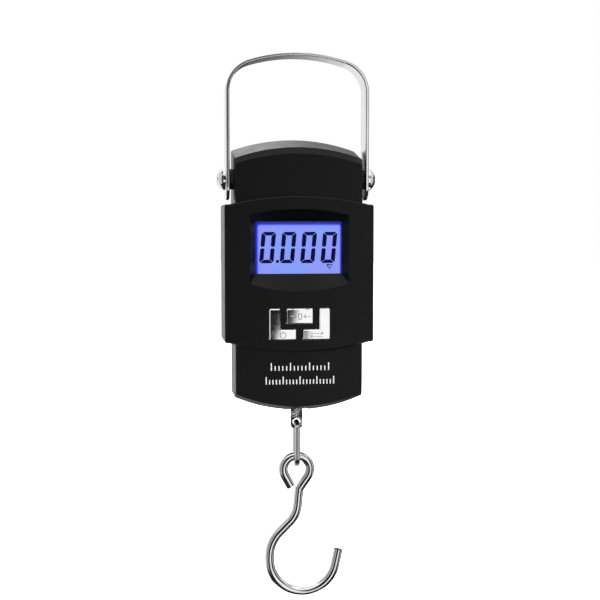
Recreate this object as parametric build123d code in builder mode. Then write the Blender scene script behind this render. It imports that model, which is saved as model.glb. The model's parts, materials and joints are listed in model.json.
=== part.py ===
from build123d import *
from math import atan2, cos, degrees, radians, sin, sqrt
import os

os.makedirs("parts", exist_ok=True)

# Digital fish scale that hangs from its bail. Millimetres throughout.
# The origin is at the grip, under the middle of the bail's top. X is to the right,
# Y is to the back and Z is up, so the display faces -Y.
# Depths called "front" or "back" are measured from the plane through the pivots.

# ---- driving dimensions ----

# Bail handle: a flat strap bent into an arch
strap_thickness = 1.5
strap_width = 12.4
strap_edge_radius = 0.45
strap_half_span = 30.8
crown_radius = 71.0
shoulder_radius = 14.0
strap_end_radius = 5.8
grip_to_pivot = 52.3
strap_below_pivot = 9.0

# Pivot screws and washers
pivot_radius = 2.0
pivot_play = 0.08
pivot_head_radius = 4.7
pivot_head_gap = 0.15
pivot_head_reach = 34.6
pivot_screw_tip = 16.0
washer_radius = 4.4
washer_gap = 0.2
cross_slot = 1.0
cross_length = 4.8
cross_depth = 1.6

# Case outline, heights from the pivots
case_half_width = 27.6
plate_draft = 0.3
plate_top = 13.5
plate_top_corner = 8.6
plate_bottom = -99.3
plate_bottom_corner = -93.4
face_top = 10.7
face_top_corner = 6.2
face_bottom = -97.6
face_bottom_corner = -91.8
rear_top = 17.6
rear_top_corner = 12.7
corner_radius = 1.2
foot_corner_radius = 2.4
band_half_width = 32.0
band_top = -10.9
band_bottom = -69.8
band_corner_radius = 1.0
panel_peak = -7.3
panel_dip = -73.95
panel_shoulder = 2.0
panel_bevel = 0.5

# Case depths
wall = 2.0
parting_front = 7.5
face_front = 10.0
band_front = 11.5
case_back = 10.9
band_back = 13.1

# Shallow notch in the case's bottom edge, and the lug's hole
notch_width = 10.6
notch_roof = 5.2
notch_depth = 0.6
notch_back = 5.0
lug_hole_radius = 3.2
back_edge_bevel = 0.8

# Display
bezel_half_width = 21.2
bezel_top = -12.8
bezel_top_corner = -15.3
bezel_bottom = -47.9
bezel_bottom_corner = -44.6
window_width = 37.5
window_height = 22.4
window_middle = -29.3
lens_front = 7.7
lens_thickness = 0.9
lens_border = 1.5
segment_thickness = 0.1
glass_front = 6.6
glass_thickness = 2.0
glass_half_width = 21.0
glass_top = -16.2
glass_bottom = -45.0
backlight_thickness = 1.2
backlight_half_width = 20.0
backlight_top = -17.0
backlight_bottom = -42.2
lamp_heights = (-24.5, -34.5)
lamp_size = 3.5
lamp_depth = 1.1
lamp_thickness = 1.4
zebra_half_width = 19.0
zebra_top = -43.2
zebra_bottom = -44.8
frame_half_width = 23.0
frame_top = -13.6
frame_bottom = -48.0
rim_thickness = 1.3
rim_gap = 0.2
board_front = 3.2
board_thickness = 1.0

# Figures on the display
figure_count = 4
figure_pitch = 8.85
figure_width = 4.4
figure_height = 11.9
figure_upright = 1.8
figure_level = 1.5
figure_clip = 0.9
figure_mitre_gap = 0.07
figure_middle_gap = 0.36
figure_taper = 0.4
figure_slant = 0.09
point_size = 1.3
point_shift = 0.35

# Buttons
button_proud = 12.5
button_gap = 0.2
button_corner = 0.6
button_bevel = 0.4
button_crown = 110.0
flange_lip = 0.8
flange_front = 9.3
flange_thickness = 0.8
post_radius = 1.2
post_tip = 6.3
outer_button_inside = 8.4
outer_button_outside = 13.1
outer_button_foot = 1.45
outer_button_top = -55.35
outer_button_bottom = -68.6
outer_button_foot_top = -64.3
middle_button_half = 5.75
middle_button_bottom = -61.7
switch_size = 6.0
switch_height = 3.2
switch_well = 1.0
switch_well_radius = 1.9
dome_radius = 1.7
dome_thickness = 0.2
outer_switch_x = 10.75
outer_switch_z = -62.0
middle_switch_z = -58.7

# Circuit board
board_half_width = 29.4
board_top = -13.4
board_bottom = -67.3
board_screw_x = 27.4
board_screw_top = -16.0
board_screw_bottom = -65.2
board_screw_radius = 1.0
board_head_radius = 1.6
board_head_height = 1.1
board_post_radius = 2.0
board_pilot_tip = 8.5
board_screw_tip = 8.0
board_slot = 0.4
board_slot_length = 2.0
board_slot_depth = 0.4
blob_height = -50.2
blob_radius = 3.8
blob_thickness = 1.2
blob_rounding = 0.9
resistor_length = 1.6
resistor_width = 0.9
resistor_thickness = 0.6
resistor_places = (
    (-24.0, -51.5),
    (-20.5, -51.5),
    (-17.0, -51.5),
    (-13.5, -51.5),
    (13.5, -51.5),
    (17.0, -51.5),
    (20.5, -51.5),
    (24.0, -51.5),
    (-22.0, -58.5),
    (-18.0, -58.5),
    (18.0, -58.5),
    (22.0, -58.5),
)
crystal_x = -9.0
crystal_length = 3.2
crystal_width = 1.6
crystal_thickness = 0.9

# Screws that close the case from the back
case_screw_x = 21.5
case_screw_top = -8.0
case_screw_bottom = -86.0
case_screw_radius = 1.25
case_head_radius = 2.3
case_head_height = 1.6
case_recess_radius = 2.5
case_recess_depth = 2.2
case_post_radius = 2.9
case_post_meet = -2.0
case_screw_tip = 4.0
case_slot = 0.6
case_slot_length = 3.0
case_slot_depth = 0.8
thread_play = 0.05

# Yoke, load cell and lug
yoke_half_length = 25.4
yoke_size = 8.0
yoke_bolt_radius = 2.5
yoke_bolt_head = 4.2
yoke_bolt_head_height = 4.6
yoke_bolt_socket = 2.3
yoke_bolt_socket_depth = 2.5
yoke_bolt_reach = 7.6
cell_half_width = 9.0
cell_block_front = 5.0
cell_beam_front = 1.9
cell_back = 5.1
cell_top_block = 8.6
cell_bottom_block_top = -68.5
cell_bottom = -80.0
cell_hole_radius = 4.2
cell_hole_spread = 3.6
cell_slot = 1.4
cell_slot_offset = 12.0
cell_slot_web = 3.0
gauge_length = 6.0
gauge_width = 3.4
gauge_thickness = 0.4
gauge_spacing = 7.2
gauge_front = -1.6
lug_radius = 2.55
lug_thread_top = -71.0
lug_tongue_top = -97.0
lug_tongue_thickness = 2.5
lug_end = -108.4
lug_eye = -105.86
lug_eye_radius = 1.75
lug_nut_radius = 4.4
lug_nut_height = 4.0
lug_foot_rounding = 0.9

# Link and hook
link_wire = 2.4
link_bend = 3.6
hook_wire = 4.1
eye_bend = 5.9
eye_pin = -120.95
eye_start_angle = 209.0
eye_tail = 5.6
neck_angle = 35.0
neck_length = 5.79
neck_radius = 2.6
shank_lean = 5.5
shank_length = 6.78
shoulder_bend = 12.0
slope_length = 6.49
hook_bend = 14.76
side_length = 1.6
tip_lean = 12.0
tip_length = 6.8

# Batteries, their bays and the sliding cover
cell_radius = 5.25
cell_length = 43.6
cell_nub_radius = 1.9
cell_nub_height = 0.8
bay_x = 17.8
bay_y = 5.4
bay_half_width = 6.0
bay_wall = 1.2
bay_top = -17.5
bay_bottom = -67.5
bay_floor = 1.1
contact_thickness = 0.3
contact_half_width = 5.2
contact_gap = 0.1
tab_half_width = 1.0
tab_length = 2.6
tab_y = 2.2
contact_front = -0.6
contact_back = -10.4
bridge_front = -6.5
bridge_back = -8.5
cell_edge_rounding = 0.5
spring_height = 4.6
spring_radius = 3.0
spring_wire = 0.5
spring_pitch = 1.15
cover_half_width = 24.8
cover_thickness = 1.9
cover_top = -15.7
cover_bottom = -69.6
cover_gap = 0.2
rail_reach = 1.0
rail_front = 0.1
rail_thickness = 0.8
channel_wall_front = -9.3
ledge_width = 3.4
ledge_front = -8.6
ridge_count = 6
ridge_pitch = 1.8
ridge_width = 0.9
ridge_depth = 0.5
ridge_half_length = 8.0
ridge_start = 8.0
cover_bevel = 0.4

# ---- derived dimensions ----

pivot_z = -grip_to_pivot
strap_inside = strap_half_span - strap_thickness
board_back = board_front - board_thickness
wire_radius = 0.35


def front_plane(front):
    """Plane that faces the front, this far in front of the pivots."""
    return Plane.XZ.offset(front)


def arched_face(half_width, top, top_corner, bottom, bottom_corner, radius=0, foot_radius=0):
    """Face with an arched top and bottom, heights from the pivots, corners rounded if asked."""
    with BuildSketch() as outline:
        with BuildLine():
            upper = ThreePointArc(
                (-half_width, pivot_z + top_corner),
                (0, pivot_z + top),
                (half_width, pivot_z + top_corner),
            )
            lower = ThreePointArc(
                (half_width, pivot_z + bottom_corner),
                (0, pivot_z + bottom),
                (-half_width, pivot_z + bottom_corner),
            )
            Line(upper @ 1, lower @ 0)
            Line(lower @ 1, upper @ 0)
        make_face()
        if radius > 0:
            foot_corners = outline.vertices().group_by(Axis.Y)[0]
            top_corners = outline.vertices().group_by(Axis.Y)[-1]
            fillet(top_corners, radius)
            fillet(foot_corners, foot_radius)
    return outline.sketch


def box_between(left, right, front, back, bottom, top, mode=Mode.ADD):
    """Box between limits; front and back are in front of the pivots, heights from them."""
    middle = ((left + right) / 2, -(front + back) / 2, pivot_z + (bottom + top) / 2)
    with Locations(middle):
        Box(right - left, front - back, top - bottom, mode=mode)


def rod_along_y(x, height, radius, front, back, mode=Mode.ADD):
    """Round rod from front to back, both measured in front of the pivots."""
    with Locations((x, -(front + back) / 2, pivot_z + height)):
        Cylinder(radius, front - back, rotation=(90, 0, 0), mode=mode)


def cut_cross(x, height, back, width, length, depth):
    """Cross slot cut into the back of a screw head."""
    for across, upright in ((length, width), (width, length)):
        box_between(
            x - across / 2,
            x + across / 2,
            back + depth,
            back,
            height - upright / 2,
            height + upright / 2,
            mode=Mode.SUBTRACT,
        )


# ---- bail handle ----

crown_centre = strap_thickness - crown_radius
shoulder_x = strap_half_span - shoulder_radius
shoulder_z = crown_centre + sqrt((crown_radius - shoulder_radius) ** 2 - shoulder_x**2)
shoulder_angle = degrees(atan2(shoulder_z - crown_centre, shoulder_x))
strap_end_z = pivot_z - strap_below_pivot


def arch_line(inset):
    """One side of the strap from foot to foot, inset from its outside."""
    x = strap_half_span - inset
    foot = Line((x, strap_end_z), (x, shoulder_z))
    CenterArc((shoulder_x, shoulder_z), shoulder_radius - inset, 0, shoulder_angle)
    CenterArc((0, crown_centre), crown_radius - inset, shoulder_angle, 180 - 2 * shoulder_angle)
    CenterArc((-shoulder_x, shoulder_z), shoulder_radius - inset, 180 - shoulder_angle, shoulder_angle)
    other_foot = Line((-x, shoulder_z), (-x, strap_end_z))
    return foot @ 0, other_foot @ 1


with BuildPart() as bail_handle:
    with BuildSketch(Plane.XZ):
        with BuildLine():
            outer_feet = arch_line(0)
            inner_feet = arch_line(strap_thickness)
            Line(outer_feet[0], inner_feet[0])
            Line(outer_feet[1], inner_feet[1])
        make_face()
    extrude(amount=strap_width / 2, both=True)
    foot_edges = bail_handle.edges().filter_by(Axis.X).group_by(Axis.Z)[0]
    fillet(foot_edges, strap_end_radius)
    # Rounded long edges, in front and at the back
    side_edges = bail_handle.faces().filter_by(Axis.Y).edges().filter_by(Axis.X, reverse=True)
    fillet(side_edges, strap_edge_radius)
    with Locations((0, 0, pivot_z)):
        Cylinder(pivot_radius + pivot_play, 3 * strap_half_span, rotation=(0, 90, 0), mode=Mode.SUBTRACT)
bail_handle.part.label = "bail_handle"
export_step(bail_handle.part, "parts/bail_handle.step")

# ---- pivot screws and washers ----

with BuildPart() as pivot_screws:
    head_start = strap_half_span + pivot_head_gap
    with BuildSketch(Plane.XZ):
        with BuildLine():
            dome = ThreePointArc(
                (head_start + 1.0, pivot_z + pivot_head_radius),
                (pivot_head_reach - 0.9, pivot_z + pivot_head_radius * 0.66),
                (pivot_head_reach, pivot_z),
            )
            Polyline(
                dome @ 1,
                (pivot_screw_tip, pivot_z),
                (pivot_screw_tip, pivot_z + pivot_radius),
                (head_start, pivot_z + pivot_radius),
                (head_start, pivot_z + pivot_head_radius),
                dome @ 0,
            )
        make_face()
    revolve(axis=Axis((0, 0, pivot_z), (1, 0, 0)))
    slot_middle = pivot_head_reach - cross_depth / 2 + 0.5
    with Locations((slot_middle, 0, pivot_z)):
        Box(cross_depth + 1.0, cross_slot, cross_length, mode=Mode.SUBTRACT)
        Box(cross_depth + 1.0, cross_length, cross_slot, mode=Mode.SUBTRACT)
    mirror(about=Plane.YZ)
pivot_screws.part.label = "pivot_screws"
export_step(pivot_screws.part, "parts/pivot_screws.step")

with BuildPart() as pivot_washers:
    with BuildSketch(Plane.YZ.offset(case_half_width)):
        with Locations((0, pivot_z)):
            Circle(washer_radius)
            Circle(pivot_radius + 0.1, mode=Mode.SUBTRACT)
    extrude(amount=strap_inside - washer_gap - case_half_width)
    mirror(about=Plane.YZ)
pivot_washers.part.label = "pivot_washers"
export_step(pivot_washers.part, "parts/pivot_washers.step")


# ---- shapes shared by the covers and the buttons ----


def notch_face():
    """Shallow tapered notch in the bottom edge."""
    with BuildSketch() as notch:
        with BuildLine():
            Polyline(
                (-notch_width / 2, pivot_z + plate_bottom - 1.0),
                (-notch_width / 2, pivot_z + plate_bottom),
                (-notch_roof / 2, pivot_z + plate_bottom + notch_depth),
                (notch_roof / 2, pivot_z + plate_bottom + notch_depth),
                (notch_width / 2, pivot_z + plate_bottom),
                (notch_width / 2, pivot_z + plate_bottom - 1.0),
                close=True,
            )
        make_face()
    return notch.sketch


def outer_button_face(grow, side):
    """L-shaped outline of an outer button; side is -1 for left and 1 for right."""
    inside = side * (outer_button_inside - grow)
    outside = side * (outer_button_outside + grow)
    foot = side * (outer_button_foot - grow)
    top = pivot_z + outer_button_top + grow
    bottom = pivot_z + outer_button_bottom - grow
    foot_top = pivot_z + outer_button_foot_top + grow
    with BuildSketch() as outline:
        with BuildLine():
            Polyline(
                (outside, top),
                (inside, top),
                (inside, foot_top),
                (foot, foot_top),
                (foot, bottom),
                (outside, bottom),
                close=True,
            )
        make_face()
        fillet(outline.vertices(), button_corner)
    return outline.sketch


def middle_button_face(grow):
    """Rectangular outline of the middle button."""
    height = outer_button_top - middle_button_bottom
    middle = pivot_z + (outer_button_top + middle_button_bottom) / 2
    with BuildSketch() as outline:
        with Locations((0, middle)):
            RectangleRounded(2 * (middle_button_half + grow), height + 2 * grow, button_corner)
    return outline.sketch


plate_face = arched_face(
    case_half_width,
    plate_top,
    plate_top_corner,
    plate_bottom,
    plate_bottom_corner,
    corner_radius,
    foot_corner_radius,
)
front_face = arched_face(
    case_half_width - plate_draft,
    face_top,
    face_top_corner,
    face_bottom,
    face_bottom_corner,
    corner_radius,
    foot_corner_radius,
)
rear_face = arched_face(
    case_half_width,
    rear_top,
    rear_top_corner,
    plate_bottom,
    plate_bottom_corner,
    corner_radius,
    foot_corner_radius,
)
front_hollow_face = arched_face(
    case_half_width - wall,
    plate_top - wall - 1.0,
    plate_top_corner - wall - 1.0,
    plate_bottom + wall,
    plate_bottom_corner + wall,
    corner_radius,
    corner_radius,
)
hollow_face = arched_face(
    case_half_width - wall,
    plate_top - wall,
    plate_top_corner - wall,
    plate_bottom + wall,
    plate_bottom_corner + wall,
    corner_radius,
    corner_radius,
)
rear_hollow_face = arched_face(
    case_half_width - wall,
    rear_top - wall - 0.4,
    rear_top_corner - wall - 0.4,
    plate_bottom + wall,
    plate_bottom_corner + wall,
    corner_radius,
    corner_radius,
)
bezel_face = arched_face(
    bezel_half_width, bezel_top, bezel_top_corner, bezel_bottom, bezel_bottom_corner
)

# ---- front cover ----

with BuildPart() as front_cover:
    with BuildSketch(front_plane(parting_front)):
        add(plate_face)
    with BuildSketch(front_plane(face_front)):
        add(front_face)
    loft(ruled=True)
    # Wider middle band, up to the plane of the plate's face
    with BuildSketch(front_plane(parting_front)):
        with Locations((0, pivot_z + (band_top + band_bottom) / 2)):
            RectangleRounded(2 * band_half_width, band_top - band_bottom, band_corner_radius)
    extrude(amount=face_front - parting_front)
    # Raised panel with arched top and bottom
    with BuildSketch(front_plane(face_front)) as panel_sketch:
        with BuildLine():
            panel_top = ThreePointArc(
                (-band_half_width + panel_shoulder, pivot_z + band_top),
                (0, pivot_z + panel_peak),
                (band_half_width - panel_shoulder, pivot_z + band_top),
            )
            panel_foot = ThreePointArc(
                (band_half_width - panel_shoulder, pivot_z + band_bottom),
                (0, pivot_z + panel_dip),
                (-band_half_width + panel_shoulder, pivot_z + band_bottom),
            )
            Polyline(
                panel_top @ 1,
                (band_half_width, pivot_z + band_top),
                (band_half_width, pivot_z + band_bottom),
                panel_foot @ 0,
            )
            Polyline(
                panel_foot @ 1,
                (-band_half_width, pivot_z + band_bottom),
                (-band_half_width, pivot_z + band_top),
                panel_top @ 0,
            )
        make_face()
        panel_corners = panel_sketch.vertices().group_by(Axis.X)
        fillet(panel_corners[0] + panel_corners[-1], band_corner_radius)
    extrude(amount=band_front - face_front)
    panel_edges = front_cover.faces().sort_by(Axis.Y)[0].edges()
    chamfer(panel_edges, panel_bevel)
    # Hollow behind the plate and the band
    with BuildSketch(front_plane(parting_front)):
        add(front_hollow_face)
    extrude(amount=face_front - parting_front - wall, mode=Mode.SUBTRACT)
    box_between(
        wall - band_half_width,
        band_half_width - wall,
        band_front - wall,
        parting_front,
        band_bottom + wall,
        band_top - wall,
        mode=Mode.SUBTRACT,
    )
    # Room for the flanges of the outer buttons below the band's hollow
    flange_room = outer_button_outside + flange_lip + 1.0
    box_between(
        -flange_room,
        flange_room,
        band_front - wall,
        parting_front,
        outer_button_bottom - flange_lip - 1.0,
        band_bottom + wall + 0.5,
        mode=Mode.SUBTRACT,
    )
    # Frame behind the display, with a rim that holds the glass
    box_between(
        -frame_half_width, frame_half_width, band_front - wall, lens_front, frame_bottom, frame_top
    )
    rim_inside = 2 * rim_gap
    rim_outside = 2 * (rim_gap + rim_thickness)
    with BuildSketch(front_plane(glass_front - glass_thickness)):
        with Locations((0, pivot_z + (glass_top + glass_bottom) / 2)):
            Rectangle(2 * glass_half_width + rim_outside, glass_top - glass_bottom + rim_outside)
            Rectangle(
                2 * glass_half_width + rim_inside,
                glass_top - glass_bottom + rim_inside,
                mode=Mode.SUBTRACT,
            )
    extrude(amount=lens_front - glass_front + glass_thickness)
    # Sloping bezel around the window
    with BuildSketch(front_plane(lens_front)):
        with Locations((0, pivot_z + window_middle)):
            Rectangle(window_width, window_height)
    with BuildSketch(front_plane(band_front)):
        add(bezel_face)
    loft(ruled=True, mode=Mode.SUBTRACT)
    # Button openings
    with BuildSketch(front_plane(band_front - wall)):
        add(outer_button_face(button_gap, -1))
        add(outer_button_face(button_gap, 1))
        add(middle_button_face(button_gap))
    extrude(amount=wall, mode=Mode.SUBTRACT)
    # Posts for the circuit board, with pilot holes
    for x in (-board_screw_x, board_screw_x):
        for height in (board_screw_top, board_screw_bottom):
            rod_along_y(x, height, board_post_radius, band_front - wall, board_front)
            rod_along_y(
                x,
                height,
                board_screw_radius + thread_play,
                board_pilot_tip,
                board_front,
                mode=Mode.SUBTRACT,
            )
    # Posts for the case screws, with pilot holes
    for x in (-case_screw_x, case_screw_x):
        for height in (case_screw_top, case_screw_bottom):
            rod_along_y(x, height, case_post_radius, face_front - wall, case_post_meet)
            rod_along_y(
                x,
                height,
                case_screw_radius + thread_play,
                case_screw_tip + 0.5,
                case_post_meet,
                mode=Mode.SUBTRACT,
            )
    with BuildSketch(front_plane(parting_front)):
        add(notch_face())
    extrude(amount=face_front - parting_front, mode=Mode.SUBTRACT)
front_cover.part.label = "front_cover"
export_step(front_cover.part, "parts/front_cover.step")

# ---- rear cover ----

bay_left = bay_x - bay_half_width
bay_right = bay_x + bay_half_width
cover_inner = -(band_back - cover_thickness)

with BuildPart() as rear_cover:
    with BuildSketch(front_plane(parting_front)):
        add(plate_face)
    with BuildSketch(front_plane(-case_back)):
        add(rear_face)
    loft(ruled=True)
    with BuildSketch(front_plane(parting_front)):
        with Locations((0, pivot_z + (band_top + band_bottom) / 2)):
            RectangleRounded(2 * band_half_width, band_top - band_bottom, band_corner_radius)
    extrude(amount=-parting_front - band_back)
    back_edges = rear_cover.faces().sort_by(Axis.Y)[-1].edges()
    chamfer(back_edges, back_edge_bevel)
    # Hollow
    with BuildSketch(front_plane(parting_front)):
        add(hollow_face)
    with BuildSketch(front_plane(wall - case_back)):
        add(rear_hollow_face)
    loft(ruled=True, mode=Mode.SUBTRACT)
    box_between(
        wall - band_half_width,
        band_half_width - wall,
        parting_front,
        wall - band_back,
        band_bottom + wall,
        band_top - wall,
        mode=Mode.SUBTRACT,
    )
    # Wall behind the load cell, under the battery cover
    bay_foot = bay_bottom - bay_wall
    bay_head = bay_top + bay_wall
    box_between(-bay_left, bay_left, channel_wall_front, cover_inner, bay_foot, bay_head)
    for side in (-1, 1):
        low, high = sorted((side * (bay_left - bay_wall), side * (bay_right + bay_wall)))
        box_between(low, high, bay_floor, cover_inner, bay_foot, bay_head)
        # Ledge under the cover's rail
        low, high = sorted((side * bay_right, side * (bay_right + ledge_width)))
        box_between(low, high, ledge_front, cover_inner, bay_foot, bay_head)
    # Opening for the battery cover, open at the band's bottom edge
    box_between(
        -cover_half_width - cover_gap,
        cover_half_width + cover_gap,
        cover_inner + 0.1,
        -band_back - 1.0,
        band_bottom - 1.0,
        cover_top + cover_gap,
        mode=Mode.SUBTRACT,
    )
    # Grooves for the cover's rails
    groove_half = cover_half_width + rail_reach + cover_gap
    box_between(
        -groove_half,
        groove_half,
        cover_inner + 0.1,
        cover_inner - rail_front - rail_thickness - cover_gap,
        band_bottom - 1.0,
        cover_top + cover_gap,
        mode=Mode.SUBTRACT,
    )
    # Battery bays
    for side in (-1, 1):
        low, high = sorted((side * bay_left, side * bay_right))
        box_between(low, high, 0.0, cover_inner - 1.0, bay_bottom, bay_top, mode=Mode.SUBTRACT)
        tab_low, tab_high = sorted(
            (side * (bay_x - tab_half_width - 0.2), side * (bay_x + tab_half_width + 0.2))
        )
        box_between(
            tab_low,
            tab_high,
            0.1 - tab_y,
            -tab_y - 0.5,
            bay_top - 0.5,
            bay_top + bay_wall + 0.8,
            mode=Mode.SUBTRACT,
        )
    # Slot for the contact strip that bridges the bays
    box_between(
        -bay_left - 0.5,
        bay_left + 0.5,
        bridge_front + 0.2,
        bridge_back - 0.2,
        bay_bottom - 0.1,
        bay_bottom + 0.5,
        mode=Mode.SUBTRACT,
    )
    # Screw posts with recesses for the heads
    for x in (-case_screw_x, case_screw_x):
        for height in (case_screw_top, case_screw_bottom):
            rod_along_y(x, height, case_post_radius + 0.4, case_post_meet, -case_back)
            rod_along_y(
                x,
                height,
                case_screw_radius + 0.1,
                case_post_meet,
                -case_back - 2.0,
                mode=Mode.SUBTRACT,
            )
            rod_along_y(
                x,
                height,
                case_recess_radius,
                case_recess_depth - case_back,
                -case_back - 3.0,
                mode=Mode.SUBTRACT,
            )
    # Holes for the pivot screws and the lug
    with Locations((0, 0, pivot_z)):
        Cylinder(pivot_radius + 0.3, 3 * case_half_width, rotation=(0, 90, 0), mode=Mode.SUBTRACT)
    with Locations((0, 0, pivot_z + plate_bottom)):
        Cylinder(lug_hole_radius, 6 * wall, mode=Mode.SUBTRACT)
    with BuildSketch(front_plane(-notch_back)):
        add(notch_face())
    extrude(amount=parting_front + notch_back, mode=Mode.SUBTRACT)
rear_cover.part.label = "rear_cover"
export_step(rear_cover.part, "parts/rear_cover.step")

# ---- battery cover ----

with BuildPart() as battery_cover:
    box_between(-cover_half_width, cover_half_width, cover_inner, -band_back, cover_bottom, cover_top)
    outer_edges = battery_cover.faces().sort_by(Axis.Y)[-1].edges()
    chamfer(outer_edges, cover_bevel)
    rail_half = cover_half_width + rail_reach
    rail_start = cover_inner - rail_front
    rail_end = rail_start - rail_thickness
    box_between(-rail_half, rail_half, rail_start, rail_end, cover_bottom, cover_top)
    for row in range(ridge_count):
        height = cover_top - ridge_start - row * ridge_pitch
        box_between(
            -ridge_half_length,
            ridge_half_length,
            ridge_depth - band_back,
            -band_back - 1.0,
            height - ridge_width,
            height,
            mode=Mode.SUBTRACT,
        )
battery_cover.part.label = "battery_cover"
export_step(battery_cover.part, "parts/battery_cover.step")

# ---- display stack ----

with BuildPart() as lcd_lens:
    half = window_width / 2 + lens_border
    lens_bottom = window_middle - window_height / 2 - lens_border
    lens_top = window_middle + window_height / 2 + lens_border
    box_between(-half, half, lens_front, lens_front - lens_thickness, lens_bottom, lens_top)
lcd_lens.part.label = "lcd_lens"
export_step(lcd_lens.part, "parts/lcd_lens.step")

with BuildPart() as lcd_panel:
    back_of_glass = glass_front - glass_thickness
    box_between(
        -glass_half_width, glass_half_width, glass_front, back_of_glass, glass_bottom, glass_top
    )
lcd_panel.part.label = "lcd_panel"
export_step(lcd_panel.part, "parts/lcd_panel.step")


def leaning(points, x, height):
    """Points of a figure, leaned to the right and moved to their place."""
    return [(x + a + figure_slant * b, pivot_z + height + b) for a, b in points]


def zero_bars():
    """Six bars of the figure 0, as corner lists around the figure's middle.

    The bars meet at mitred corners with a hairline between them, and the figure's
    outer corners are clipped. The uprights are split in the middle, with tapered ends.
    """
    out_x = (figure_width + figure_upright) / 2
    in_x = (figure_width - figure_upright) / 2
    out_z = (figure_height + figure_level) / 2
    in_z = (figure_height - figure_level) / 2
    mitre_x = out_x - figure_clip / 2
    mitre_z = out_z - figure_clip / 2
    gap = figure_mitre_gap
    level_bar = [
        (figure_clip - out_x, out_z),
        (gap - mitre_x, mitre_z + gap),
        (2 * gap - in_x, in_z),
        (in_x - 2 * gap, in_z),
        (mitre_x - gap, mitre_z + gap),
        (out_x - figure_clip, out_z),
    ]
    upright_bar = [
        (out_x, out_z - figure_clip),
        (mitre_x + gap, mitre_z - gap),
        (in_x, in_z - 2 * gap),
        (in_x, figure_middle_gap + figure_taper),
        (in_x + figure_taper, figure_middle_gap),
        (out_x - figure_taper, figure_middle_gap),
        (out_x, figure_middle_gap + figure_taper),
    ]
    bars = []
    for up in (1, -1):
        level = [(a, up * b) for a, b in level_bar]
        bars.append(level[::up])
        for side in (1, -1):
            upright = [(side * a, up * b) for a, b in upright_bar]
            bars.append(upright[:: side * up])
    return bars


with BuildPart() as lcd_segments:
    with BuildSketch(front_plane(glass_front)):
        for number in range(figure_count):
            x = (number - (figure_count - 1) / 2) * figure_pitch
            for bar in zero_bars():
                Polygon(*leaning(bar, x, window_middle), align=None)
        point_x = -figure_pitch - figure_slant * figure_height / 2 + point_shift
        with Locations((point_x, pivot_z + window_middle - figure_height / 2)):
            RectangleRounded(point_size, point_size, point_size / 3)
    extrude(amount=segment_thickness)
lcd_segments.part.label = "lcd_segments"
export_step(lcd_segments.part, "parts/lcd_segments.step")

with BuildPart() as backlight_panel:
    box_between(
        -backlight_half_width,
        backlight_half_width,
        back_of_glass,
        back_of_glass - backlight_thickness,
        backlight_bottom,
        backlight_top,
    )
backlight_panel.part.label = "backlight_panel"
export_step(backlight_panel.part, "parts/backlight_panel.step")

with BuildPart() as backlight_lamps:
    lamp_left = backlight_half_width + 0.1
    for height in lamp_heights:
        box_between(
            lamp_left,
            lamp_left + lamp_thickness,
            board_front + lamp_depth,
            board_front,
            height - lamp_size / 2,
            height + lamp_size / 2,
        )
backlight_lamps.part.label = "backlight_lamps"
export_step(backlight_lamps.part, "parts/backlight_lamps.step")

with BuildPart() as zebra_strip:
    box_between(
        -zebra_half_width, zebra_half_width, back_of_glass, board_front, zebra_bottom, zebra_top
    )
zebra_strip.part.label = "zebra_strip"
export_step(zebra_strip.part, "parts/zebra_strip.step")

# ---- circuit board and what is on it ----

with BuildPart() as circuit_board:
    box_between(-board_half_width, board_half_width, board_front, board_back, board_bottom, board_top)
    for x in (-board_screw_x, board_screw_x):
        for height in (board_screw_top, board_screw_bottom):
            rod_along_y(
                x, height, board_screw_radius + 0.1, board_front + 1.0, 0.0, mode=Mode.SUBTRACT
            )
circuit_board.part.label = "circuit_board"
export_step(circuit_board.part, "parts/circuit_board.step")

with BuildPart() as board_screws:
    head_back = board_back - board_head_height
    for x in (-board_screw_x, board_screw_x):
        for height in (board_screw_top, board_screw_bottom):
            rod_along_y(x, height, board_head_radius, board_back, head_back)
            rod_along_y(x, height, board_screw_radius, board_screw_tip, board_back)
            cut_cross(x, height, head_back, board_slot, board_slot_length, board_slot_depth)
board_screws.part.label = "board_screws"
export_step(board_screws.part, "parts/board_screws.step")

with BuildPart() as chip_blob:
    with BuildSketch(front_plane(board_front)):
        with Locations((0, pivot_z + blob_height)):
            Circle(blob_radius)
    extrude(amount=blob_thickness)
    fillet(chip_blob.faces().sort_by(Axis.Y)[0].edges(), blob_rounding)
chip_blob.part.label = "chip_blob"
export_step(chip_blob.part, "parts/chip_blob.step")

with BuildPart() as board_components:
    for x, height in resistor_places:
        box_between(
            x - resistor_length / 2,
            x + resistor_length / 2,
            board_front + resistor_thickness,
            board_front,
            height - resistor_width / 2,
            height + resistor_width / 2,
        )
board_components.part.label = "board_components"
export_step(board_components.part, "parts/board_components.step")

with BuildPart() as crystal:
    box_between(
        crystal_x - crystal_length / 2,
        crystal_x + crystal_length / 2,
        board_front + crystal_thickness,
        board_front,
        blob_height - crystal_width / 2,
        blob_height + crystal_width / 2,
    )
    fillet(crystal.edges().filter_by(Axis.Y), crystal_width / 3)
crystal.part.label = "crystal"
export_step(crystal.part, "parts/crystal.step")

switch_places = (
    (-outer_switch_x, outer_switch_z),
    (0, middle_switch_z),
    (outer_switch_x, outer_switch_z),
)
switch_front = board_front + switch_height
well_floor = switch_front - switch_well

with BuildPart() as tact_switches:
    for x, height in switch_places:
        half = switch_size / 2
        box_between(x - half, x + half, switch_front, board_front, height - half, height + half)
        rod_along_y(x, height, switch_well_radius, switch_front, well_floor, mode=Mode.SUBTRACT)
tact_switches.part.label = "tact_switches"
export_step(tact_switches.part, "parts/tact_switches.step")

with BuildPart() as switch_domes:
    for x, height in switch_places:
        rod_along_y(x, height, dome_radius, well_floor + dome_thickness, well_floor)
switch_domes.part.label = "switch_domes"
export_step(switch_domes.part, "parts/switch_domes.step")

# ---- buttons ----

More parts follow.
